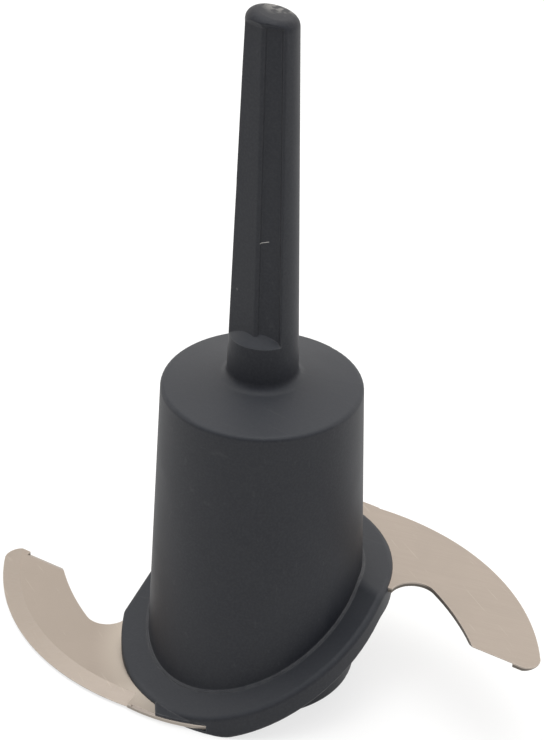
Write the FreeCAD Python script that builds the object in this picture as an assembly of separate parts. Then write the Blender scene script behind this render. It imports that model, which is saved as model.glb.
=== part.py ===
import FreeCAD, Part
import math
import os
from FreeCAD import Vector

# Food processor blade: a moulded hub with a tall finger, and two sickle blades moulded into its
# tilted collar, half a turn apart and at different heights.
# Millimetres. The origin is on the drive axis, in the plane that the foot stands on. +Z is up.
# +X points to the side of the upper blade, and -Y is the side where the finger is scooped out.

# Bell, the hollow body of the hub
bell_height = 92.5          # foot to the rim of the top
rim_radius = 27.4
bell_draft = 0.0389         # growth of the radius for each millimetre down
bell_wall = 3.0
foot_radius = 28.4          # the ring below the collar is narrower
top_wall = 3.6
crown_rise = 3.3            # how far the top rises from its rim to the finger
rim_round = 1.3
foot_round = 1.0

# Finger, the tall grip that stands on the bell
finger_base_radius = 9.8    # at the height of the rim
finger_draft = 0.0278
finger_length = 107.5       # rim to the middle of the slanted end
finger_root_fillet = 2.6
end_slant = 12.0            # degrees, the end falls towards +X
end_round = 2.6
ledge_height = 16.0         # rim to the lower edge of the scooped faces
ledge_slope = 45.0          # degrees
faces_end = 0.0             # upper end of the scooped faces, below the middle of the slanted end
faces_run_out = 2.2         # length over which they fade out there
left_face_azimuth = -130.0
left_face_depth = 2.6       # how deep each scooped face goes below the round, at the ledge
left_face_end_depth = 1.6   # the same near the finger's end
front_face_azimuth = -101.0
front_face_depth = 2.35
front_face_end_depth = 1.75
groove_land = 0.9           # flat left beside the ridge before the finger's shallow groove
groove_width = 6.2
groove_depth = 0.55
groove_side = 0.45          # how far each side of the groove leans out

# Collar, the tilted flange that holds the blades
collar_radius = 38.4
collar_tilt = 30.7          # degrees
collar_uphill = 40.2        # azimuth of its highest side
collar_axis_height = 24.9   # its top face on the drive axis
collar_thickness = 7.1      # measured upright
collar_round = 1.5
bend_round = 5.0            # where the tilted faces turn level
blade_cover = 0.8           # plastic over each blade
seat_start = 150.0          # azimuths of the part that reaches down to the foot plane
seat_sweep = 103.5
side_flat_azimuth = 145.0   # flat on the collar's side, behind the lower blade
side_flat_distance = 34.5
side_flat_round = 3.0
lip_width = 0.6             # fine raised lip where the collar meets the bell
lip_height = 0.35

# Blades, both cut with the same outline
blade_thickness = 1.4
lower_blade_height = 0.7    # underside of the lower blade
blade_spacing = 31.3        # lower blade to upper blade
lower_blade_turn = 180.0    # the lower blade's position about the axis, from the upper one
edge_radius = 73.5          # arc of the ground cutting edge
edge_start_radius = 43.95   # distance from the axis at which the ground edge starts, at the heel
edge_start_azimuth = 37.2
edge_start_angle = 64.2     # direction of that point, seen from the arc's centre
blade_width = 19.6          # greatest width, between the two long arcs
width_angle = 26.6          # where that is, seen from the cutting edge's centre
inner_radius = 88.8         # arc of the inner edge
inner_corner_angle = 12.4   # direction of the sharp inner corner, seen from the inner arc's centre
notch_radius = 6.7          # round notch between the inner edge and the collar
notch_gap = 7.6             # centre of the notch to the collar's side
notch_lean = 11.4           # how far the notch's end is turned from the line to the axis
end_line_angle = -32.2      # direction of the blade's end edge
tip_round = 3.6
heel_start_radius = 44.2    # the unground edge at the heel, as distances from the axis
heel_middle_radius = 39.4
heel_middle_azimuth = 59.4
heel_end_radius = 37.5
heel_end_azimuth = 70.5
root_radius = 30.3          # where the blade's root ends inside the plastic
anchor_radius = 2.0         # holes that the plastic fills
anchor_azimuths = (14.0, 48.0)
anchor_circle = 33.6
bevel_width = 5.0
edge_land = 0.15            # thickness left at the cutting edge
run_out_width = 0.8         # narrow facet that runs out along the heel
run_out_depth = 0.55
end_bevel_length = 12.2     # part of the end edge that is ground, from the inner corner
end_bevel_width = 1.8
end_bevel_depth = 1.1
pad_start_azimuth = -135.5  # where the pad over the lower heel starts, at the collar's side
pad_edge_azimuth = -127.3   # the same at the blade's edge
pad_cover = 0.7

# Drive socket inside the bell
socket_bore_radius = 6.1
socket_wall = 3.9
socket_length = 38.0
drive_slot_width = 4.0
drive_slot_depth = 10.0
rib_count = 4
rib_thickness = 2.2
rib_height = 14.0
rib_turn = 45.0

AXIS = Vector(0, 0, 1)
ORIGIN = Vector(0, 0, 0)
FAR = 200.0                 # past every face of the part

finger_end_height = bell_height + finger_length
upper_blade_height = lower_blade_height + blade_spacing
lower_blade_top = lower_blade_height + blade_thickness
upper_blade_top = upper_blade_height + blade_thickness
bell_foot_radius = rim_radius + bell_draft * bell_height
ledge_level = bell_height + ledge_height
faces_end_level = finger_end_height - faces_end
faces_full_level = faces_end_level - faces_run_out
low_landing = lower_blade_top + blade_cover
high_landing = upper_blade_top + blade_cover
high_underside = high_landing - collar_thickness
collar_slope = math.tan(math.radians(collar_tilt))
cavity_top = bell_height - top_wall
socket_radius = socket_bore_radius + socket_wall
socket_top = cavity_top + 1.0
socket_bottom = socket_top - socket_length


def at(radius, azimuth, height=0.0):
    """A point from its distance to the drive axis, its azimuth in degrees and its height."""
    angle = math.radians(azimuth)
    return Vector(radius * math.cos(angle), radius * math.sin(angle), height)


def round_corners(points, radii):
    """Edges of a polygon in which each corner with a radius becomes a tangent arc."""
    count = len(points)
    starts = []
    ends = []
    arcs = []
    for index, point in enumerate(points):
        radius = radii[index]
        if radius == 0:
            starts.append(point)
            ends.append(point)
            arcs.append(None)
            continue
        before = (points[index - 1] - point).normalize()
        after = (points[(index + 1) % count] - point).normalize()
        half = before.getAngle(after) / 2
        reach = radius / math.tan(half)
        towards_middle = (before + after).normalize()
        middle = point + towards_middle * (radius / math.sin(half) - radius)
        starts.append(point + before * reach)
        ends.append(point + after * reach)
        arcs.append(middle)
    edges = []
    for index in range(count):
        if arcs[index] is not None:
            edges.append(Part.Arc(starts[index], arcs[index], ends[index]).toShape())
        following = (index + 1) % count
        if (ends[index] - starts[following]).Length > 1e-6:
            edges.append(Part.makeLine(ends[index], starts[following]))
    return edges


def arc_about(centre, radius, first, last):
    """Arc in a level plane from one direction to another, in degrees, seen from its centre."""
    directions = (first, (first + last) / 2, last)
    start, middle, end = [centre + at(radius, direction) for direction in directions]
    return Part.Arc(start, middle, end).toShape()


def face_of(edges):
    return Part.Face(Part.Wire(Part.__sortEdges__(edges)))


def finger_radius(height):
    return finger_base_radius - finger_draft * (height - bell_height)


def bell_radius(height):
    return rim_radius + bell_draft * (bell_height - height)


def ring_solid(points, radii):
    """Solid of revolution from a profile of radius and height."""
    profile = face_of(round_corners([Vector(r, 0, z) for r, z in points], radii))
    return profile.revolve(ORIGIN, AXIS, 360)


def bell_and_finger():
    """Outside of the bell with its crowned top and the round, tapered finger."""
    crown_height = bell_height + crown_rise
    above_end = finger_end_height + finger_base_radius
    points = [(0, 0), (bell_foot_radius, 0), (rim_radius, bell_height),
              (finger_radius(crown_height), crown_height), (finger_radius(above_end), above_end), (0, above_end)]
    radii = [0, 0, rim_round, finger_root_fillet, 0, 0]
    outside = ring_solid(points, radii).cut(around_foot())
    return round_finger_end(outside)


def around_foot():
    """Tool for the step under the collar, where the bell narrows to its foot ring."""
    foot = ring_solid([(0, 0), (foot_radius, 0), (foot_radius, bell_height), (0, bell_height)],
                      [0, foot_round, 0, 0])
    return below_collar_underside().cut(foot)


def round_finger_end(outside):
    """Cuts the finger's end at a slant and rounds its edge."""
    cutter = Part.makeBox(FAR, FAR, FAR, Vector(-FAR / 2, -FAR / 2, finger_end_height))
    cutter.rotate(Vector(0, 0, finger_end_height), Vector(0, 1, 0), end_slant)
    outside = outside.cut(cutter)
    lowest = finger_end_height - finger_base_radius
    rim = [edge for edge in outside.Edges
           if edge.BoundBox.ZMin > lowest and edge.BoundBox.XLength > finger_base_radius]
    return outside.makeFillet(end_round, rim)


def face_distances(height):
    """Distances of the two scooped faces from the axis, between the ledge and their upper end."""
    share = (height - ledge_level) / (faces_full_level - ledge_level)
    left_depth = left_face_depth + share * (left_face_end_depth - left_face_depth)
    front_depth = front_face_depth + share * (front_face_end_depth - front_face_depth)
    return finger_radius(height) - left_depth, finger_radius(height) - front_depth


def ridge_point(height, left_distance, front_distance):
    """Where the left and the front face meet at one height."""
    left_out = at(1, left_face_azimuth)
    front_out = at(1, front_face_azimuth)
    area = left_out.x * front_out.y - left_out.y * front_out.x
    x = (left_distance * front_out.y - front_distance * left_out.y) / area
    y = (front_distance * left_out.x - left_distance * front_out.x) / area
    return Vector(x, y, height)


def scoop_wire(height, left_distance, front_distance):
    """Outline of what the two scooped faces take away at one height."""
    ridge = ridge_point(height, left_distance, front_distance)
    reach = 3 * finger_base_radius
    left_end = ridge + at(reach, left_face_azimuth - 90)
    front_end = ridge + at(reach, front_face_azimuth + 90)
    outer = ridge + at(2 * reach, (left_face_azimuth + front_face_azimuth) / 2)
    return Part.makePolygon([ridge, front_end, outer, left_end, ridge])


def scooped_faces():
    """Tool for the two faces, which rise from a conical ledge and fade out near the finger's end."""
    wires = [scoop_wire(height, *face_distances(height)) for height in (ledge_level, faces_full_level)]
    end_radius = finger_radius(faces_end_level)
    wires.append(scoop_wire(faces_end_level, end_radius, end_radius))
    tool = Part.makeLoft(wires, True, True)
    ledge_radius = finger_radius(ledge_level)
    cone_height = ledge_radius * math.tan(math.radians(ledge_slope))
    return tool.cut(Part.makeCone(ledge_radius, 0, cone_height, at(0, 0, ledge_level)))


def finger_groove():
    """Tool for the shallow groove in the front face, beside the ridge."""
    out = at(1, front_face_azimuth)
    along = at(1, front_face_azimuth + 90)
    wires = []
    for height in (ledge_level, faces_full_level):
        share = finger_radius(height) / finger_radius(ledge_level)
        near = ridge_point(height, *face_distances(height)) + along * groove_land
        far = near + along * groove_width * share
        floor_near = near + along * groove_side - out * groove_depth
        floor_far = far - along * groove_side - out * groove_depth
        outer_near = near - along * groove_side + out * groove_depth
        outer_far = far + along * groove_side + out * groove_depth
        wires.append(Part.makePolygon([floor_near, floor_far, outer_far, outer_near, floor_near]))
    tool = Part.makeLoft(wires, True, True)
    ledge_radius = finger_radius(ledge_level)
    cone_height = ledge_radius * math.tan(math.radians(ledge_slope))
    return tool.cut(Part.makeCone(ledge_radius, 0, cone_height, at(0, 0, ledge_level)))


def slope_points(height_on_axis, low_level, high_level):
    """The two bends of a face that is level, then tilted, then level again, along the uphill line."""
    low_bend = Vector((low_level - height_on_axis) / collar_slope, 0, low_level)
    high_bend = Vector((high_level - height_on_axis) / collar_slope, 0, high_level)
    return low_bend, high_bend


def uphill_slab(points, radii):
    """Solid with the same section across the uphill line, as wide as the part."""
    section = face_of(round_corners(points, radii))
    section.translate(Vector(0, -FAR / 2, 0))
    slab = section.extrude(Vector(0, FAR, 0))
    slab.rotate(ORIGIN, AXIS, collar_uphill)
    return slab


def collar_top_bends(drop=0.0):
    return slope_points(collar_axis_height - drop, low_landing - drop, high_landing - drop)


def collar_underside_bends():
    return slope_points(collar_axis_height - collar_thickness, 0, high_underside)


def collar_slab():
    """Tilted slab with a level landing over each blade."""
    top_low, top_high = collar_top_bends()
    under_low, under_high = collar_underside_bends()
    half = FAR / 2
    points = [Vector(-half, 0, 0), under_low, under_high, Vector(half, 0, under_high.z),
              Vector(half, 0, top_high.z), top_high, top_low, Vector(-half, 0, top_low.z)]
    return uphill_slab(points, [0, bend_round, bend_round, 0, 0, bend_round, bend_round, 0])


def below_collar_top():
    """Everything from the foot plane up to the collar's top face."""
    top_low, top_high = collar_top_bends()
    half = FAR / 2
    points = [Vector(-half, 0, 0), Vector(half, 0, 0), Vector(half, 0, top_high.z), top_high, top_low,
              Vector(-half, 0, top_low.z)]
    return uphill_slab(points, [0, 0, 0, bend_round, bend_round, 0])


def below_collar_underside():
    """Everything under the collar's underside."""
    under_low, under_high = collar_underside_bends()
    half = FAR / 2
    points = [Vector(-half, 0, -half), Vector(half, 0, -half), Vector(half, 0, under_high.z), under_high,
              under_low, Vector(-half, 0, 0)]
    return uphill_slab(points, [0, 0, 0, bend_round, bend_round, 0])


def sector(radius, start, sweep, bottom, top):
    """Upright wedge of a disc between two azimuths."""
    block = Part.makeCylinder(radius, top - bottom, at(0, 0, bottom), AXIS, sweep)
    return block.rotate(ORIGIN, AXIS, start)


def collar_plan():
    """Upright block with the collar's outline from above: a circle with one flat side."""
    height = FAR / 2
    block = Part.makeCylinder(collar_radius, height)
    beyond = Part.makeBox(FAR, FAR, FAR, Vector(side_flat_distance, -FAR / 2, -FAR / 2))
    beyond.rotate(ORIGIN, AXIS, side_flat_azimuth)
    block = block.cut(beyond)
    corners = [edge for edge in block.Edges
               if isinstance(edge.Curve, Part.Line) and edge.Length > height - 0.01
               and abs(edge.CenterOfMass.dot(at(1, side_flat_azimuth)) - side_flat_distance) < 0.01]
    return block.makeFillet(side_flat_round, corners)


def collar():
    """Tilted flange, thickened down to the foot plane where it holds the lower blade."""
    seat = sector(FAR / 2, seat_start, seat_sweep, 0, bell_height).common(below_collar_top())
    solid = collar_slab().fuse(seat).common(collar_plan()).removeSplitter()
    return solid.makeFillet(collar_round, top_rim_edges(solid))


def top_rim_edges(solid):
    """Edges where the collar's upright side meets its top face."""
    rims = []
    for edge in solid.Edges:
        start, end = edge.ParameterRange
        point = edge.valueAt((start + end) / 2)
        slopes = []
        for face in solid.ancestorsOfType(edge, Part.Face):
            u, v = face.Surface.parameter(point)
            slopes.append(face.normalAt(u, v).z)
        if len(slopes) == 2 and min(slopes) < 0.01 and min(slopes) > -0.01 and max(slopes) > 0.5:
            rims.append(edge)
    return rims


def lip():
    """Fine raised lip that follows the collar's top face around the bell."""
    outer = Part.makeCone(bell_foot_radius + lip_width, rim_radius + lip_width, bell_height)
    top_low, top_high = collar_top_bends(-lip_height)
    half = FAR / 2
    points = [Vector(-half, 0, 0), Vector(half, 0, 0), Vector(half, 0, top_high.z), top_high, top_low,
              Vector(-half, 0, top_low.z)]
    below = uphill_slab(points, [0, 0, 0, bend_round, bend_round, 0])
    return outer.common(below).cut(below_collar_underside())


def direction_of(vector):
    return math.degrees(math.atan2(vector.y, vector.x))


def circle_crossing(centre, radius, other_centre, other_radius):
    """Where two circles cross, to the left of the line from the first centre to the other."""
    apart = other_centre - centre
    along = (radius ** 2 - other_radius ** 2 + apart.Length ** 2) / (2 * apart.Length)
    aside = math.sqrt(radius ** 2 - along ** 2)
    forward = at(1, direction_of(apart))
    return centre + forward * along + AXIS.cross(forward) * aside


def edge_centre():
    """Centre of the ground cutting edge's arc, for the upper blade."""
    return at(edge_start_radius, edge_start_azimuth) - at(edge_radius, edge_start_angle)


def inner_centre():
    """Centre of the inner edge's arc."""
    return edge_centre() + at(edge_radius - blade_width - inner_radius, width_angle)


def inner_corner():
    return inner_centre() + at(inner_radius, inner_corner_angle)


def blade_edges():
    """Outline of a blade at the upper blade's azimuth, in the plane Z = 0."""
    end_along = at(1, end_line_angle)
    end_out = at(1, end_line_angle - 90)

    # Rounded tip between the end edge and the cutting edge
    tip_offset = (inner_corner() - edge_centre()).dot(end_out) - tip_round
    tip_reach = math.sqrt((edge_radius - tip_round) ** 2 - tip_offset ** 2)
    tip_centre = edge_centre() + end_out * tip_offset + end_along * tip_reach
    tip_on_end = tip_centre + end_out * tip_round
    tip_direction = direction_of(tip_centre - edge_centre())

    # Round notch, which touches the inner arc from inside
    notch_centre = circle_crossing(ORIGIN, collar_radius + notch_gap,
                                   inner_centre(), inner_radius - notch_radius)
    notch_angle = direction_of(notch_centre - inner_centre())
    notch_end_direction = direction_of(notch_centre) + 180 - notch_lean
    notch_end = notch_centre + at(notch_radius, notch_end_direction)
    root_start_azimuth = direction_of(notch_end)

    edge_start = at(edge_start_radius, edge_start_azimuth)
    heel_start = at(heel_start_radius, edge_start_azimuth)
    heel_middle = at(heel_middle_radius, heel_middle_azimuth)
    heel_end = at(heel_end_radius, heel_end_azimuth)
    return [
        arc_about(edge_centre(), edge_radius, tip_direction, edge_start_angle),
        Part.makeLine(edge_start, heel_start),
        Part.Arc(heel_start, heel_middle, heel_end).toShape(),
        Part.makeLine(heel_end, at(root_radius, heel_end_azimuth)),
        arc_about(ORIGIN, root_radius, heel_end_azimuth, root_start_azimuth),
        Part.makeLine(at(root_radius, root_start_azimuth), notch_end),
        arc_about(notch_centre, notch_radius, notch_end_direction, notch_angle),
        arc_about(inner_centre(), inner_radius, notch_angle, inner_corner_angle),
        Part.makeLine(inner_corner(), tip_on_end),
        arc_about(tip_centre, tip_round, end_line_angle - 90, tip_direction),
    ]


def edge_bevel():
    """Tool for the bevel ground into the top side along the cutting edge."""
    beyond = bevel_width / 2
    slope = (blade_thickness - edge_land) / bevel_width
    corners = [Vector(edge_radius - bevel_width, 0, blade_thickness),
               Vector(edge_radius + beyond, 0, edge_land - beyond * slope),
               Vector(edge_radius + beyond, 0, 2 * blade_thickness),
               Vector(edge_radius - bevel_width, 0, 2 * blade_thickness)]
    past_tip = end_line_angle
    tool = face_of(round_corners(corners, [0, 0, 0, 0])).revolve(ORIGIN, AXIS, edge_start_angle - past_tip)
    tool.rotate(ORIGIN, AXIS, past_tip)
    tool.translate(edge_centre())
    return tool


def heel_centre():
    """Centre of the heel's arc."""
    heel_points = [at(heel_start_radius, edge_start_azimuth), at(heel_middle_radius, heel_middle_azimuth),
                   at(heel_end_radius, heel_end_azimuth)]
    return Part.Arc(*heel_points).toShape().Curve.Center


def heel_run_out():
    """Tool for the narrow facet along the heel, which starts at the bevel and fades to nothing."""
    centre = heel_centre()
    heel_end = at(heel_end_radius, heel_end_azimuth)
    first = direction_of(at(heel_start_radius, edge_start_azimuth) - centre)
    last = direction_of(heel_end - centre)
    radius = (heel_end - centre).Length
    slope = run_out_depth / run_out_width
    beyond = 3 * run_out_width
    corners = [Vector(radius, 0, blade_thickness),
               Vector(radius + beyond, 0, blade_thickness - beyond * slope),
               Vector(radius + beyond, 0, 2 * blade_thickness),
               Vector(radius, 0, 2 * blade_thickness)]
    tool = face_of(round_corners(corners, [0, 0, 0, 0])).revolve(ORIGIN, AXIS, last - first)
    tool.rotate(ORIGIN, AXIS, first)
    shift = at(run_out_width / math.sin(math.radians(last - first)), last + 90)
    tool.translate(centre + shift)
    return tool


def end_bevel():
    """Tool for the short bevel along the end edge."""
    end_along = at(1, end_line_angle)
    end_out = at(1, end_line_angle - 90)
    start = inner_corner() - end_along * end_bevel_width
    slope = end_bevel_depth / end_bevel_width
    top = AXIS * blade_thickness
    corners = [start - end_out * end_bevel_width + top,
               start + end_out * end_bevel_width + top - AXIS * (2 * end_bevel_width * slope),
               start + end_out * end_bevel_width + top * 2,
               start - end_out * end_bevel_width + top * 2]
    section = face_of(round_corners(corners, [0, 0, 0, 0]))
    return section.extrude(end_along * (end_bevel_length + end_bevel_width))


def blade(height, turn, ground_below):
    """One blade: outline, ground bevels on one side, and anchor holes."""
    solid = face_of(blade_edges()).extrude(AXIS * blade_thickness)
    for tool in (edge_bevel(), heel_run_out(), end_bevel()):
        if ground_below:
            tool = tool.mirror(AXIS * (blade_thickness / 2), AXIS)
        solid = solid.cut(tool)
    for azimuth in anchor_azimuths:
        hole = Part.makeCylinder(anchor_radius, blade_thickness, at(anchor_circle, azimuth))
        solid = solid.cut(hole)
    solid.translate(Vector(0, 0, height))
    solid.rotate(ORIGIN, AXIS, turn)
    return solid


def lower_outline(bottom, top):
    """Upright block with the lower blade's outline."""
    block = face_of(blade_edges()).extrude(AXIS * (top - bottom))
    block.translate(AXIS * bottom)
    block.rotate(ORIGIN, AXIS, lower_blade_turn)
    return block


def heel_pad():
    """Plastic over the lower blade's heel, flush with the blade's edge; its start is slanted."""
    inner = at(collar_radius, pad_start_azimuth)
    outer = at(heel_start_radius, pad_edge_azimuth)
    beyond = outer + (outer - inner)
    last = at(2 * collar_radius, heel_end_azimuth + lower_blade_turn)
    wedge = face_of(round_corners([ORIGIN, inner, beyond, last], [0, 0, 0, 0]))
    pad = lower_outline(lower_blade_top, lower_blade_top + pad_cover)
    return pad.common(wedge.extrude(AXIS * bell_height))


def heel_window():
    """Tool that sets the collar's side back to the lower blade's heel, so that its edge shows."""
    first = edge_start_azimuth + lower_blade_turn
    sweep = heel_end_azimuth - edge_start_azimuth
    wedge = sector(FAR / 2, first, sweep, lower_blade_height, low_landing)
    return wedge.cut(lower_outline(0, bell_height))


def cavity():
    """Hollow of the bell around the drive socket and its ribs."""
    hollow = Part.makeCone(foot_radius - bell_wall, bell_radius(cavity_top) - bell_wall, cavity_top)
    boss = Part.makeCylinder(socket_radius, socket_length, at(0, 0, socket_bottom))
    hollow = hollow.cut(boss)
    rib_length = bell_foot_radius
    for index in range(rib_count):
        rib = Part.makeBox(rib_length, rib_thickness, rib_height + top_wall,
                           Vector(0, -rib_thickness / 2, cavity_top - rib_height))
        rib.rotate(ORIGIN, AXIS, rib_turn + index * 360 / rib_count)
        hollow = hollow.cut(rib)
    return hollow


def drive_socket():
    """Round bore for the drive shaft, and the slot for its cross pin."""
    bore = Part.makeCylinder(socket_bore_radius, socket_length, at(0, 0, socket_bottom))
    slot = Part.makeBox(4 * socket_radius, drive_slot_width, drive_slot_depth,
                        Vector(-2 * socket_radius, -drive_slot_width / 2, socket_bottom))
    return bore.fuse(slot)


def hub(blades):
    """The whole moulding: bell, finger, collar and drive socket, with room for the blades."""
    solid = bell_and_finger()
    solid = solid.cut(scooped_faces()).cut(finger_groove())
    solid = solid.fuse(collar())
    solid = solid.fuse(lip())
    solid = solid.cut(heel_window())
    solid = solid.fuse(heel_pad())
    solid = solid.cut(cavity())
    solid = solid.cut(drive_socket())
    for one in blades:
        solid = solid.cut(one)
    return solid


def single_solid(shape):
    """The one solid of a finished piece."""
    shape = shape.removeSplitter()
    if len(shape.Solids) != 1:
        raise ValueError("expected one solid, found %d" % len(shape.Solids))
    return shape.Solids[0]


def main():
    os.makedirs("parts", exist_ok=True)
    places = {
        "upper_blade": (upper_blade_height, 0, True),
        "lower_blade": (lower_blade_height, lower_blade_turn, False),
    }
    pieces = {name: single_solid(blade(*place)) for name, place in places.items()}
    pieces["hub"] = single_solid(hub(list(pieces.values())))
    for name, solid in pieces.items():
        solid.exportStep("parts/%s.step" % name)
        box = solid.BoundBox
        print("%-12s %9.1f mm3  x %.1f..%.1f  y %.1f..%.1f  z %.1f..%.1f  valid %s" % (
            name, solid.Volume, box.XMin, box.XMax, box.YMin, box.YMax, box.ZMin, box.ZMax, solid.isValid()))


main()
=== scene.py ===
# %% [markdown]
# # Food processor blade
# The object is one dark plastic moulding with a tall finger, and two stainless sickle blades held
# in its tilted collar. The shapes come ready made and are never moved here. What this lesson adds
# is the way the pieces look: two finishes with their grain and wear, the light, the floor and
# the camera.

import bpy
from mathutils import Matrix, Vector

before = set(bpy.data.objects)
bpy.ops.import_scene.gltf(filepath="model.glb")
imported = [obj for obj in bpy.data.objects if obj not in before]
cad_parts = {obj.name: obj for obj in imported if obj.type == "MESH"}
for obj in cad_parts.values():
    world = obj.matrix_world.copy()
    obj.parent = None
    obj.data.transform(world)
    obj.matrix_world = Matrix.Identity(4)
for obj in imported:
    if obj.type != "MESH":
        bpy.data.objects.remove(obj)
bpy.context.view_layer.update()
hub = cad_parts["hub"]
upper_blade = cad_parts["upper_blade"]
lower_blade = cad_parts["lower_blade"]
scene = bpy.context.scene
scene.view_settings.view_transform = "Standard"
print("loaded", sorted(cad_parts))

# %% [markdown]
# ## Camera
# The photo looks down on the object at about 32 degrees from close by, so the collar's ellipse is
# open and the finger stands nearly upright in the frame. A camera could be aimed with a
# constraint, but here its three directions were worked out beforehand, so they are written
# straight into its matrix. The long side of the frame sets the lens, and the lens is shifted by
# one pixel because its axis doesn't meet the exact middle of the frame.

# %% Place the camera
frame_height_px = 740
focal_length_px = 2380.8
lens_axis_offset_px = 1
camera_position = Vector((0.0, -0.5393, 0.4359))
camera_right = Vector((0.99957368, 0.01167839, 0.02675954))
camera_up = Vector((-0.02886851, 0.53239171, 0.84600572))
camera_forward = Vector((0.00436657, 0.84641756, -0.53250188))

camera_data = bpy.data.cameras.new("camera")
camera_data.sensor_width = 36.0
camera_data.lens = focal_length_px / frame_height_px * camera_data.sensor_width
camera_data.shift_x = -lens_axis_offset_px / frame_height_px
camera_data.clip_start = 0.01
camera = bpy.data.objects.new("camera", camera_data)
scene.collection.objects.link(camera)
facing = Matrix((camera_right, camera_up, -camera_forward)).transposed()
camera.matrix_world = Matrix.Translation(camera_position) @ facing.to_4x4()
scene.camera = camera
print("camera lens %.1f mm" % camera_data.lens)

# %% [markdown]
# ## Small helpers for node trees
# Every material and group below is a graph of nodes. A few short functions keep the cells
# readable. One makes a node and fills in its inputs, and the others build on it: sums, ranges,
# mixed colours, one component of a vector, and groups with named inputs and outputs.

# %% Helpers
def node(tree, kind, inputs=None, **settings):
    """A new node with its settings, and with values or links for its inputs."""
    made = tree.nodes.new(kind)
    for name, value in settings.items():
        setattr(made, name, value)
    for name, value in (inputs or {}).items():
        if isinstance(value, bpy.types.NodeSocket):
            tree.links.new(value, made.inputs[name])
        else:
            made.inputs[name].default_value = value
    return made


def maths(tree, operation, first, second=0.0, third=0.0):
    """The result of one sum, as a socket."""
    return node(tree, "ShaderNodeMath", {0: first, 1: second, 2: third}, operation=operation).outputs[0]


def between(tree, value, low, high, to_low=0.0, to_high=1.0):
    """Value brought from one range to another, smoothly, and kept inside it."""
    inputs = {"Value": value, "From Min": low, "From Max": high, "To Min": to_low, "To Max": to_high}
    return node(tree, "ShaderNodeMapRange", inputs, interpolation_type="SMOOTHSTEP").outputs["Result"]


def mix_colours(tree, share, first, second):
    """Two colours mixed by a share from 0 to 1."""
    made = node(tree, "ShaderNodeMix", {"Factor": share}, data_type="RGBA")
    for index, value in ((6, first), (7, second)):
        if isinstance(value, bpy.types.NodeSocket):
            tree.links.new(value, made.inputs[index])
        else:
            made.inputs[index].default_value = value
    return made.outputs[2]


def component(tree, vector, axis):
    """One component of a vector, as a socket."""
    return node(tree, "ShaderNodeSeparateXYZ", {"Vector": vector}).outputs[axis]


def vector_sum(tree, operation, first, second):
    """The result of one sum with vectors, as a socket."""
    made = node(tree, "ShaderNodeVectorMath", {0: first, 1: second}, operation=operation)
    return made.outputs["Value" if operation in ("DOT_PRODUCT", "DISTANCE") else "Vector"]


def surface_normal(tree, kind="Normal"):
    """The direction that a point of the surface faces."""
    return tree.nodes.new("ShaderNodeNewGeometry").outputs[kind]


def new_group(name, inputs, outputs):
    """An empty node group: its tree, its input sockets and its output node."""
    tree = bpy.data.node_groups.new(name, "ShaderNodeTree")
    for label, value in inputs.items():
        socket = tree.interface.new_socket(name=label, in_out="INPUT", socket_type="NodeSocketFloat")
        socket.default_value = value
    for label in outputs:
        tree.interface.new_socket(name=label, in_out="OUTPUT", socket_type="NodeSocketFloat")
    return tree, tree.nodes.new("NodeGroupInput").outputs, tree.nodes.new("NodeGroupOutput").inputs


def use_group(tree, group, **values):
    """The outputs of a group placed in a material with its own values."""
    made = tree.nodes.new("ShaderNodeGroup")
    made.node_tree = group
    for label, value in values.items():
        made.inputs[label.replace("_", " ")].default_value = value
    return made.outputs


def own_position(tree):
    """The place of a point on its own piece, in metres."""
    return tree.nodes.new("ShaderNodeTexCoord").outputs["Object"]


print("helpers ready")

# %% [markdown]
# ## Moulded grain
# A moulding like this has the fine tooth that spark erosion leaves in a steel mould: dimples a
# few tenths of a millimetre wide that keep the surface from shining. It could be real
# displacement, but the dimples are far smaller than a pixel is worth in mesh, so noise drives a
# bump instead. Two sizes together look less regular than one.

# %% Group for the moulded grain
tree, given, put = new_group("moulded grain", {"Scale": 1500.0}, ["Height", "Speckle"])
place = own_position(tree)
fine = node(tree, "ShaderNodeTexNoise", {"Vector": place, "Scale": given["Scale"], "Detail": 3.0,
                                         "Roughness": 0.6})
coarse_scale = maths(tree, "MULTIPLY", given["Scale"], 0.3)
coarse = node(tree, "ShaderNodeTexNoise", {"Vector": place, "Scale": coarse_scale, "Detail": 2.0})
height = maths(tree, "MULTIPLY_ADD", coarse.outputs["Fac"], 0.5, fine.outputs["Fac"])
tree.links.new(height, put["Height"])
tree.links.new(between(tree, fine.outputs["Fac"], 0.35, 0.7), put["Speckle"])
moulded_grain = tree
print("group", moulded_grain.name)

# %% [markdown]
# ## Handling bloom
# After years of washing, dark plastic is not one black. It has broad pale patches where hands and
# detergent have dulled it. One low noise, bent by a second one, gives patches without an obvious
# size.

# %% Group for the handling bloom
tree, given, put = new_group("handling bloom", {"Scale": 30.0}, ["Mask"])
place = own_position(tree)
patches = node(tree, "ShaderNodeTexNoise", {"Vector": place, "Scale": given["Scale"], "Detail": 4.0,
                                            "Roughness": 0.55, "Distortion": 0.6})
tree.links.new(between(tree, patches.outputs["Fac"], 0.38, 0.66), put["Mask"])
handling_bloom = tree
print("group", handling_bloom.name)

# %% [markdown]
# ## Wash film and painted top light
# What faces up dries last, so a thin pale film stays on flat tops, ledges and rounded rims. Its pale
# colour is also painted top light: faces that look up are made lighter, as light from above would
# make them. The mask comes from the height of the normal, which needs no painting and follows every
# rounding.

# %% Group for the wash film and painted top light
tree, given, put = new_group("wash film", {"Lowest slope": 0.25, "Full slope": 0.7}, ["Mask"])
upward = component(tree, surface_normal(tree), "Z")
tree.links.new(between(tree, upward, given["Lowest slope"], given["Full slope"]), put["Mask"])
wash_film_and_top_light = tree
print("group", wash_film_and_top_light.name)
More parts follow.
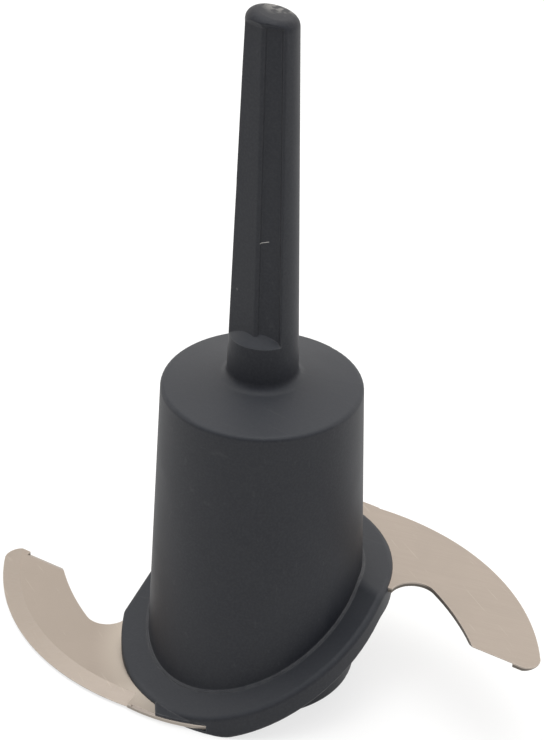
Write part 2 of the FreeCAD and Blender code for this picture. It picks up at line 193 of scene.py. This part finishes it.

# %% [markdown]
# ## Edge wear and painted edge highlights
# Corners are slightly rounded and rubbed, and the pale colour laid on them is partly that wear and
# partly a painted highlight, the light that the rounded corners catch. The Bevel node rounds the
# normal near every edge, so where it differs from the true normal there is an edge. Noise breaks
# the line up, since nothing wears evenly.

# %% Group for the edge wear and painted edge highlights
tree, given, put = new_group("edge wear", {"Radius": 0.0008, "Break up": 300.0}, ["Mask"])
place = own_position(tree)
rounded = node(tree, "ShaderNodeBevel", {"Radius": given["Radius"]}, samples=8)
likeness = vector_sum(tree, "DOT_PRODUCT", rounded.outputs[0], surface_normal(tree))
edge = between(tree, likeness, 0.998, 0.90)
broken = node(tree, "ShaderNodeTexNoise", {"Vector": place, "Scale": given["Break up"], "Detail": 3.0})
worn_and_highlit = maths(tree, "MULTIPLY", edge, between(tree, broken.outputs["Fac"], 0.3, 0.6, 0.45, 1.0))
tree.links.new(worn_and_highlit, put["Mask"])
edge_wear_and_highlight = tree
print("group", edge_wear_and_highlight.name)

# %% [markdown]
# ## Fine scratches
# Both finishes carry hairline scratches from cutlery and the dish rack. Stretched noise gives
# long thin streaks. Cutting it off at a high value leaves only a few of them.

# %% Group for the fine scratches
tree, given, put = new_group("fine scratches", {"Scale": 60.0, "Angle": 0.6, "Amount": 0.5}, ["Mask"])
place = own_position(tree)
turned = node(tree, "ShaderNodeVectorRotate", {"Vector": place, "Angle": given["Angle"]},
              rotation_type="Z_AXIS").outputs[0]
stretched = vector_sum(tree, "MULTIPLY", turned, (1.0, 22.0, 5.0))
streaks = node(tree, "ShaderNodeTexNoise", {"Vector": stretched, "Scale": given["Scale"], "Detail": 2.0,
                                            "Distortion": 0.15})
few = between(tree, streaks.outputs["Fac"], 0.66, 0.74)
tree.links.new(maths(tree, "MULTIPLY", few, given["Amount"]), put["Mask"])
fine_scratches = tree
print("group", fine_scratches.name)

# %% [markdown]
# ## Hub plastic
# The hub is one moulding in a charcoal plastic with a touch of blue. Its sheen is broad and soft,
# brighter where the surface turns away from the viewer. The finger's slanted end is rubbed pale,
# because that is where it is gripped and knocked, and its patchy pale colour is partly a painted
# highlight, the shiny glints on that end. One short nick and a speck mark its front.
# The photo shows the finger's edges less pale than the hub's others, its end darker and the
# ledge below the scooped faces paler, so wear and film are weighted by height to match it. The
# paler ledge is a painted highlight, and the pale edges and the film are partly painted highlight
# and painted top light. Each of these is a mask in the object's own coordinates, so it stays put
# from every side.

# %% Masks for the marks on the finger
def near_point(tree, place, centre, reach, full):
    """Mask that is 1 within one distance of a point and fades to 0 at another."""
    return between(tree, vector_sum(tree, "DISTANCE", place, centre), reach, full)


def near_line(tree, place, start, end, width):
    """Mask for a thin nick between two points with Y at 0, seen on the front at any depth."""
    start = Vector(start)
    line = Vector(end) - start
    length = line.length
    in_front = between(tree, component(tree, place, "Y"), 0.0, -0.002)
    flattened = vector_sum(tree, "MULTIPLY", place, (1.0, 0.0, 1.0))
    from_start = vector_sum(tree, "SUBTRACT", flattened, start)
    travel = vector_sum(tree, "DOT_PRODUCT", from_start, line.normalized())
    reached = vector_sum(tree, "DISTANCE", flattened, start)
    squared = maths(tree, "SUBTRACT", maths(tree, "POWER", reached, 2.0), maths(tree, "POWER", travel, 2.0))
    aside = maths(tree, "SQRT", maths(tree, "MAXIMUM", squared, 0.0))
    inside = maths(tree, "MULTIPLY", between(tree, travel, -width, width),
                   between(tree, travel, length + width, length - width))
    inside = maths(tree, "MULTIPLY", inside, in_front)
    return maths(tree, "MULTIPLY", between(tree, aside, width, width * 0.4), inside)


print("mark helpers ready")

# %% Hub material
charcoal = (0.0092, 0.0104, 0.0150, 1.0)
washed_grey = (0.0145, 0.0158, 0.0200, 1.0)
film_and_top_light_grey = (0.039, 0.042, 0.048, 1.0)
speckle_grey = (0.040, 0.042, 0.046, 1.0)
wear_and_highlight_grey = (0.120, 0.120, 0.122, 1.0)
rubbed_and_highlight_grey = (0.165, 0.160, 0.152, 1.0)
nick_white = (0.38, 0.37, 0.35, 1.0)
ledge_height = 0.1085
finger_end_height = 0.2000
nick_start = (-0.00160, 0.0, 0.13843)
nick_end = (0.00069, 0.0, 0.13907)
nick_width = 0.00013
speck_centre = (-0.00729, -0.00239, 0.12275)
rubbed_and_highlight_centre = (0.0018, 0.0054, 0.2009)

hub_plastic = bpy.data.materials.new("hub_plastic")
hub_plastic.use_nodes = True
tree = hub_plastic.node_tree
shader = tree.nodes["Principled BSDF"]
place = own_position(tree)
grain = use_group(tree, moulded_grain, Scale=1500.0)
bloom = use_group(tree, handling_bloom, Scale=26.0)["Mask"]
wear_and_highlight = use_group(tree, edge_wear_and_highlight, Radius=0.0009, Break_up=260.0)["Mask"]
hairlines = use_group(tree, fine_scratches, Scale=55.0, Angle=0.5, Amount=0.35)["Mask"]
film_and_top_light = use_group(tree, wash_film_and_top_light, Lowest_slope=0.25, Full_slope=0.7)["Mask"]

height = component(tree, place, "Z")
on_finger = between(tree, height, ledge_height, ledge_height + 0.0040)
near_end = between(tree, height, finger_end_height - 0.0100, finger_end_height - 0.0030)
# Painted highlight: the film's share is raised on the ledge below the scooped faces, and lowered near the
# finger's end.
ledge_highlight_band = maths(tree, "MULTIPLY", between(tree, height, ledge_height - 0.0025, ledge_height),
                 between(tree, height, ledge_height + 0.0045, ledge_height + 0.0025))
film_and_top_light_share = maths(tree, "MULTIPLY_ADD", ledge_highlight_band, 0.30, 0.44)
film_and_top_light_share = maths(tree, "MULTIPLY_ADD", near_end, -0.44, film_and_top_light_share)
# The finger's edges get less of the pale edge colour, which is partly wear and partly painted highlight.
wear_and_highlight = maths(tree, "MULTIPLY", wear_and_highlight, maths(tree, "MULTIPLY_ADD", on_finger, -0.80, 1.0))
# Rubbed end: real wear, and its patchy pale colour is partly a painted highlight.
finger_end = near_point(tree, place, rubbed_and_highlight_centre, 0.0078, 0.0020)
end_patches = node(tree, "ShaderNodeTexNoise", {"Vector": place, "Scale": 620.0, "Detail": 4.0})
patchy = between(tree, end_patches.outputs["Fac"], 0.44, 0.60, 0.12, 1.0)
rubbed_and_highlight = maths(tree, "MULTIPLY", finger_end, patchy)
nick = near_line(tree, place, nick_start, nick_end, nick_width)
speck = near_point(tree, place, speck_centre, 0.0005, 0.0002)
marks = maths(tree, "MAXIMUM", nick, maths(tree, "MULTIPLY", speck, 0.12))

colour = mix_colours(tree, bloom, charcoal, washed_grey)
# Pale film on upward faces, partly painted top light.
colour = mix_colours(tree, maths(tree, "MULTIPLY", film_and_top_light, film_and_top_light_share), colour, film_and_top_light_grey)
speckled = maths(tree, "MULTIPLY", grain["Speckle"], 0.18)
colour = mix_colours(tree, speckled, colour, speckle_grey)
# Pale edges and scratches: wear, with a painted highlight along the edges.
wear_and_highlight_share = maths(tree, "MAXIMUM", maths(tree, "MULTIPLY", wear_and_highlight, 0.32),
                   maths(tree, "MULTIPLY", hairlines, 0.14))
colour = mix_colours(tree, wear_and_highlight_share, colour, wear_and_highlight_grey)
colour = mix_colours(tree, maths(tree, "MULTIPLY", rubbed_and_highlight, 0.76), colour, rubbed_and_highlight_grey)
colour = mix_colours(tree, marks, colour, nick_white)
tree.links.new(colour, shader.inputs["Base Color"])

roughness = maths(tree, "MULTIPLY_ADD", bloom, 0.08, 0.50)
roughness = maths(tree, "MULTIPLY_ADD", rubbed_and_highlight, -0.16, roughness)
tree.links.new(roughness, shader.inputs["Roughness"])
shader.inputs["Specular IOR Level"].default_value = 0.31
raised = maths(tree, "MULTIPLY_ADD", hairlines, -0.6, grain["Height"])
softened = node(tree, "ShaderNodeBevel", {"Radius": 0.0007}, samples=8).outputs[0]
bump = node(tree, "ShaderNodeBump", {"Strength": 0.35, "Distance": 0.00006, "Height": raised,
                                     "Normal": softened})
tree.links.new(bump.outputs[0], shader.inputs["Normal"])
hub.data.materials.clear()
hub.data.materials.append(hub_plastic)
print("hub finish:", hub_plastic.name, len(tree.nodes), "nodes")

# %% [markdown]
# ## Blade steel
# The blades are stamped from satin stainless sheet, 1.4 mm thick. The rolled faces have fine
# parallel lines, the bevel is ground across its edge and is a little brighter, and the stamped
# sides have a bright burnished band on top of a rough, darker break. The parts of one blade are
# told apart by slope, which needs no painting: a rolled face is level, a bevel leans a little
# and a side stands upright, where the height in the sheet parts the band from the break. The
# lower blade is the same shape half a turn round, so one function makes both finishes.
#
# Two settings only match the photo. The lower blade is darker overall, whatever the cause was
# there. It is also painted brighter beside the collar, most at its heel: painted light, standing in
# for a paler reflection where it would otherwise mirror the dark plastic more than the photo shows.

# %% Group for the rolled lines
tree, given, put = new_group("rolled lines", {"Scale": 90.0, "Angle": 0.3}, ["Mask"])
place = own_position(tree)
turned = node(tree, "ShaderNodeVectorRotate", {"Vector": place, "Angle": given["Angle"]},
              rotation_type="Z_AXIS").outputs[0]
stretched = vector_sum(tree, "MULTIPLY", turned, (1.0, 40.0, 40.0))
lines = node(tree, "ShaderNodeTexNoise", {"Vector": stretched, "Scale": given["Scale"], "Detail": 3.0})
tree.links.new(between(tree, lines.outputs["Fac"], 0.3, 0.7), put["Mask"])
rolled_lines = tree
print("group", rolled_lines.name)

# %% [markdown]
# ## Grinding marks
# A grinding wheel crosses the edge at a right angle, so its marks run like spokes from the
# centre of the cutting arc. Turning the position into an angle and a distance gives spokes with
# one noise.

# %% Group for the grinding marks
tree, given, put = new_group("grinding marks", {"Centre X": 0.0, "Centre Y": 0.0, "Scale": 500.0}, ["Mask"])
place = own_position(tree)
centre = node(tree, "ShaderNodeCombineXYZ", {"X": given["Centre X"], "Y": given["Centre Y"]}).outputs[0]
offset = vector_sum(tree, "SUBTRACT", place, centre)
parts = node(tree, "ShaderNodeSeparateXYZ", {"Vector": offset}).outputs
angle = maths(tree, "ARCTAN2", parts["Y"], parts["X"])
distance = maths(tree, "SQRT", maths(tree, "ADD", maths(tree, "POWER", parts["X"], 2.0),
                                     maths(tree, "POWER", parts["Y"], 2.0)))
shortened = maths(tree, "MULTIPLY", distance, 0.6)
spoke = node(tree, "ShaderNodeCombineXYZ", {"X": angle, "Y": shortened}).outputs[0]
spokes = node(tree, "ShaderNodeTexNoise", {"Vector": spoke, "Scale": given["Scale"], "Detail": 2.0})
tree.links.new(between(tree, spokes.outputs["Fac"], 0.35, 0.65), put["Mask"])
grinding_marks = tree
print("group", grinding_marks.name)

# %% Blade material
edge_centre = Vector((0.0030, -0.0396))
sheet = 0.0014
rolled_steel = (0.434, 0.378, 0.332, 1.0)
rolled_steel_dark = (0.404, 0.350, 0.308, 1.0)
ground_steel = (0.441, 0.390, 0.349, 1.0)
bloomed_steel = (0.392, 0.345, 0.304, 1.0)
bright_steel = (0.640, 0.580, 0.510, 1.0)
broken_steel = (0.210, 0.190, 0.165, 1.0)
darker_steel = (0.294, 0.250, 0.210, 1.0)
# Painted light on the lower blade: how near the drive axis, and how far along Y, it is painted brighter.
face_painted_light = {"low": 0.048, "high": 0.036}    # distances from the drive axis
side_painted_light = {"low": 0.052, "high": 0.040}
heel_painted_light = {"low": -0.016, "high": -0.022}  # along Y, on the lower blade


def blade_steel(name, side, underside, darkening, painted_light_share):
    """Satin sheet steel; side is 1 or -1 for the half turn, underside is the sheet's height.
    One share darkens the whole sheet, and the other paints it brighter beside the collar, as painted
    light in place of a paler reflection."""
    material = bpy.data.materials.new(name)
    material.use_nodes = True
    tree = material.node_tree
    shader = tree.nodes["Principled BSDF"]
    lines = use_group(tree, rolled_lines, Scale=85.0, Angle=0.35)["Mask"]
    spokes = use_group(tree, grinding_marks, Centre_X=side * edge_centre.x, Centre_Y=side * edge_centre.y,
                       Scale=420.0)["Mask"]
    hairlines = use_group(tree, fine_scratches, Scale=75.0, Angle=1.1, Amount=0.6)["Mask"]
    bloom = use_group(tree, handling_bloom, Scale=34.0)["Mask"]
    wear_and_highlight = use_group(tree, edge_wear_and_highlight, Radius=0.00035, Break_up=500.0)["Mask"]
    levelness = maths(tree, "ABSOLUTE", component(tree, surface_normal(tree, "True Normal"), "Z"))
    off_sides = between(tree, levelness, 0.4, 0.8)
    on_bevel = maths(tree, "MULTIPLY", off_sides, between(tree, levelness, 0.995, 0.980))
    on_side = maths(tree, "SUBTRACT", 1.0, off_sides)
    place = own_position(tree)
    height = component(tree, place, "Z")
    broken = between(tree, height, underside + sheet * 0.70, underside + sheet * 0.55)
    on_break = maths(tree, "MULTIPLY", on_side, broken)

    flattened = vector_sum(tree, "MULTIPLY", place, (1.0, 1.0, 0.0))
    from_axis = vector_sum(tree, "DISTANCE", flattened, (0.0, 0.0, 0.0))
    # Painted light: faces and sides are painted brighter near the collar, most at the heel.
    painted_light_face = maths(tree, "MULTIPLY", between(tree, from_axis, **face_painted_light), painted_light_share)
    painted_light_face = maths(tree, "MULTIPLY", painted_light_face, maths(tree, "SUBTRACT", off_sides, on_bevel))
    at_heel = between(tree, component(tree, place, "Y"), **heel_painted_light)
    painted_light_face = maths(tree, "MULTIPLY", painted_light_face, maths(tree, "MULTIPLY_ADD", at_heel, 0.42, 0.50))
    painted_light_side = maths(tree, "MULTIPLY", between(tree, from_axis, **side_painted_light), painted_light_share)
    painted_light_side = maths(tree, "MULTIPLY", painted_light_side, on_side)
    on_break = maths(tree, "MULTIPLY", on_break, maths(tree, "MULTIPLY_ADD", painted_light_side, -0.65, 1.0))
    painted_light = maths(tree, "MAXIMUM", painted_light_face, maths(tree, "MULTIPLY", painted_light_side, 0.45))

    colour = mix_colours(tree, lines, rolled_steel_dark, rolled_steel)
    colour = mix_colours(tree, maths(tree, "MULTIPLY", bloom, 0.35), colour, bloomed_steel)
    bevel_colour = mix_colours(tree, spokes, rolled_steel, ground_steel)
    colour = mix_colours(tree, on_bevel, colour, bevel_colour)
    # The whole sheet is darker by a set share, with a little more where the handling bloom is.
    colour = mix_colours(tree, maths(tree, "MULTIPLY_ADD", bloom, 0.04, darkening), colour, darker_steel)
    colour = mix_colours(tree, painted_light, colour, bright_steel)
    colour = mix_colours(tree, maths(tree, "MULTIPLY", hairlines, 0.35), colour, bright_steel)
    colour = mix_colours(tree, on_break, colour, broken_steel)
    # Pale edges: wear, with a painted highlight along the corners.
    colour = mix_colours(tree, maths(tree, "MULTIPLY", wear_and_highlight, 0.45), colour, bright_steel)
    tree.links.new(colour, shader.inputs["Base Color"])
    shader.inputs["Metallic"].default_value = 1.0
    roughness = maths(tree, "MULTIPLY_ADD", lines, 0.06, 0.46)
    roughness = maths(tree, "MULTIPLY_ADD", on_break, 0.25, roughness)
    tree.links.new(roughness, shader.inputs["Roughness"])
    raised = maths(tree, "MULTIPLY_ADD", lines, 0.35, maths(tree, "MULTIPLY", on_bevel, spokes))
    raised = maths(tree, "MULTIPLY_ADD", hairlines, -0.8, raised)
    bump = node(tree, "ShaderNodeBump", {"Strength": 0.25, "Distance": 0.00002, "Height": raised})
    tree.links.new(bump.outputs[0], shader.inputs["Normal"])
    return material


upper_finish = ("blade_steel", 1, 0.0320, 0.0, 0.0)
lower_finish = ("blade_steel_lower", -1, 0.0007, 0.28, 1.0)
for piece, wanted in ((upper_blade, upper_finish), (lower_blade, lower_finish)):
    finish = blade_steel(*wanted)
    piece.data.materials.clear()
    piece.data.materials.append(finish)
    print("blade finish:", finish.name, len(finish.node_tree.nodes), "nodes")

# %% [markdown]
# ## Floor and light
# A plain pale floor holds the object's shadow. Seen by the camera and in reflections it is
# lifted towards white, which is how a studio table looks when it is lit from all around. The
# world is bright behind the object and darker in front, so the dark body shows a soft pale edge
# on both sides, and it is brightest straight overhead, as under a large diffuser. Two soft lamps
# give the shadow a direction. They are kept out of reflections, because on satin steel they
# would burn out the bevel.

# %% Floor
white = (1.0, 1.0, 1.0, 1.0)
floor_grey = (0.86, 0.86, 0.85, 1.0)
floor_white_share = 0.72
floor_size = 12.0


def white_when_seen(tree, shader_socket, share):
    """Mixes plain white into what the camera and reflections see, and leaves the light alone."""
    path = tree.nodes.new("ShaderNodeLightPath").outputs
    seen = maths(tree, "MAXIMUM", path["Is Camera Ray"], path["Is Glossy Ray"])
    seen = maths(tree, "MAXIMUM", seen, path["Is Transmission Ray"])
    glow = node(tree, "ShaderNodeEmission", {"Color": white, "Strength": 1.0}).outputs[0]
    share = maths(tree, "MULTIPLY", seen, share)
    return node(tree, "ShaderNodeMixShader", {0: share, 1: shader_socket, 2: glow}).outputs[0]


floor_material = bpy.data.materials.new("pale_floor")
floor_material.use_nodes = True
tree = floor_material.node_tree
shader = tree.nodes["Principled BSDF"]
shader.inputs["Base Color"].default_value = floor_grey
shader.inputs["Roughness"].default_value = 0.9
shader.inputs["Specular IOR Level"].default_value = 0.0
output = tree.nodes["Material Output"]
tree.links.new(white_when_seen(tree, shader.outputs[0], floor_white_share), output.inputs["Surface"])

half = floor_size / 2
corners = [(-half, -half, 0), (half, -half, 0), (half, half, 0), (-half, half, 0)]
floor_mesh = bpy.data.meshes.new("floor")
floor_mesh.from_pydata(corners, [], [(0, 1, 2, 3)])
floor = bpy.data.objects.new("floor", floor_mesh)
floor.data.materials.append(floor_material)
floor.location = (0.0, 0.0, -0.0001)
scene.collection.objects.link(floor)
print("floor", floor_size, "m wide")

# %% World
front_light = (0.38, 0.39, 0.425, 1.0)
back_light = (1.0, 0.97, 0.925, 1.0)

world = bpy.data.worlds.new("studio")
scene.world = world
world.use_nodes = True
tree = world.node_tree
tree.nodes.clear()
direction = tree.nodes.new("ShaderNodeTexCoord").outputs["Generated"]
behind = between(tree, component(tree, direction, "Y"), -0.45, 0.35)
light_colour = mix_colours(tree, behind, front_light, back_light)
overhead = between(tree, component(tree, direction, "Z"), 0.80, 0.94)
light_colour = mix_colours(tree, overhead, light_colour, white)
strength = maths(tree, "MULTIPLY_ADD", overhead, 1.5, 1.16)
lighting = node(tree, "ShaderNodeBackground", {"Color": light_colour, "Strength": strength})
seen_white = node(tree, "ShaderNodeBackground", {"Color": white, "Strength": 1.0})
camera_ray = tree.nodes.new("ShaderNodeLightPath").outputs["Is Camera Ray"]
chosen = node(tree, "ShaderNodeMixShader", {0: camera_ray, 1: lighting.outputs[0], 2: seen_white.outputs[0]})
tree.links.new(chosen.outputs[0], tree.nodes.new("ShaderNodeOutputWorld").inputs["Surface"])
print("world set")


# %% Lamps
def soft_lamp(name, position, target, size, power, colour):
    """Square area lamp that looks at a point."""
    data = bpy.data.lights.new(name, "AREA")
    data.size = size
    data.energy = power
    data.color = colour
    lamp = bpy.data.objects.new(name, data)
    lamp.location = position
    lamp.rotation_mode = "QUATERNION"
    lamp.rotation_quaternion = (Vector(target) - Vector(position)).to_track_quat("-Z", "Y")
    lamp.visible_glossy = False
    scene.collection.objects.link(lamp)
    return lamp


warm_white = (1.0, 0.99, 0.97)
soft_lamp("overhead", (-0.15, 0.30, 1.2), (0.0, 0.0, 0.05), 1.0, 9.0, warm_white)
soft_lamp("right_side", (0.8, 0.1, 0.5), (0.0, 0.0, 0.08), 0.5, 2.2, warm_white)
